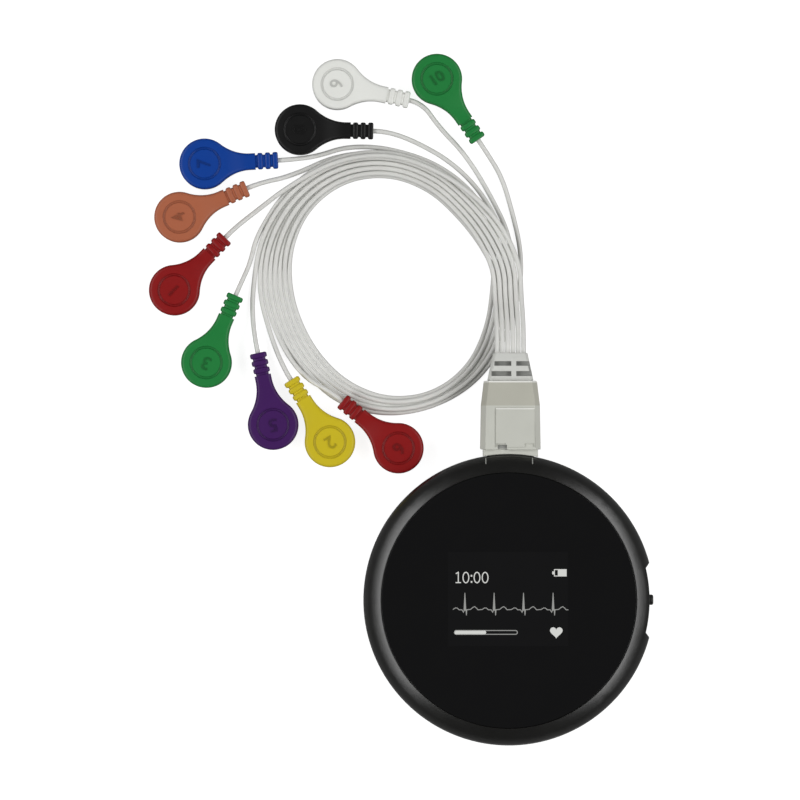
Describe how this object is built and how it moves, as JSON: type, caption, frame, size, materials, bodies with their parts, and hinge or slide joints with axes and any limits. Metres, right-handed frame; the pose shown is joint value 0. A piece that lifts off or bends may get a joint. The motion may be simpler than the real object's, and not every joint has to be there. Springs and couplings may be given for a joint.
{
  "type": "holter monitor",
  "caption": "Round black ECG recorder with a gloss front and a side key, and a plug-in set of thin leads, looped once, that end in coloured snap heads",
  "frame": {"origin": "middle of the recorder's flat back face, on the surface it rests on", "axes": "+Z out of the front lens, +Y out of the cable socket, +X out of the side key"},
  "size_m": [0.1427, 0.1954, 0.0176],
  "materials": {
    "case_black": "fine satin",
    "lens_black": "polished",
    "screw_steel": "blackened satin",
    "board_green": "solder mask",
    "tinned_steel": "tinned",
    "chip_black": "moulded",
    "tape_white": "plain",
    "battery_foil": "foil pouch",
    "foam_grey": "open foam",
    "inner_plastic": "moulded",
    "display_glass": "polished",
    "flex_amber": "polyimide",
    "contact_steel": "plated",
    "rubber_black": "moulded",
    "plug_white": "fine satin",
    "relief_white": "soft satin",
    "lead_grey": "soft satin",
    "snap_orange": "satin",
    "snap_black": "satin",
    "snap_green": "satin",
    "snap_yellow": "satin",
    "snap_blue": "satin",
    "snap_white": "satin",
    "snap_red": "satin",
    "snap_purple": "satin",
    "snap_metal": "plated"
  },
  "bodies": {
    "recorder": {"front_housing": "case_black", "rear_housing": "case_black", "front_lens": "lens_black", "housing_screws": "screw_steel", "main_board": "board_green", "shield_can": "tinned_steel", "board_chips": "chip_black", "buzzer": "chip_black", "battery_tape": "tape_white", "battery_cell": "battery_foil", "battery_foam": "foam_grey", "display_frame": "inner_plastic", "display_panel": "display_glass", "display_cable": "flex_amber", "display_connector": "inner_plastic", "cable_socket": "contact_steel", "socket_tongue": "chip_black", "socket_seal": "rubber_black", "switch_body": "contact_steel"},
    "key": {"side_button": "case_black", "button_seal": "rubber_black", "switch_plunger": "chip_black"},
    "lead_set": {"plug_upper_shell": "plug_white", "plug_lower_shell": "plug_white", "plug_shield": "contact_steel", "plug_contacts": "chip_black", "strain_relief": "relief_white", "lead_orange": "lead_grey", "lead_black": "lead_grey", "lead_green_top": "lead_grey", "lead_yellow": "lead_grey", "lead_blue": "lead_grey", "lead_white": "lead_grey", "lead_red_bottom": "lead_grey", "lead_purple": "lead_grey", "lead_green_left": "lead_grey", "lead_red_left": "lead_grey", "snap_orange": "snap_orange", "snap_black": "snap_black", "snap_green_top": "snap_green", "snap_yellow": "snap_yellow", "snap_blue": "snap_blue", "snap_white": "snap_white", "snap_red_bottom": "snap_red", "snap_purple": "snap_purple", "snap_green_left": "snap_green", "snap_red_left": "snap_red", "snap_sockets": "snap_metal"}
  },
  "joints": [
    {"name": "key_press", "type": "slide", "parent": "recorder", "child": "key", "axis": [-1, 0, 0], "range_m": [0, 0.0005], "stiffness_N_per_m": 3000},
    {"name": "cable_unplug", "type": "slide", "parent": "recorder", "child": "lead_set", "axis": [0, 1, 0], "range_m": [0, 0.012]}
  ]
}
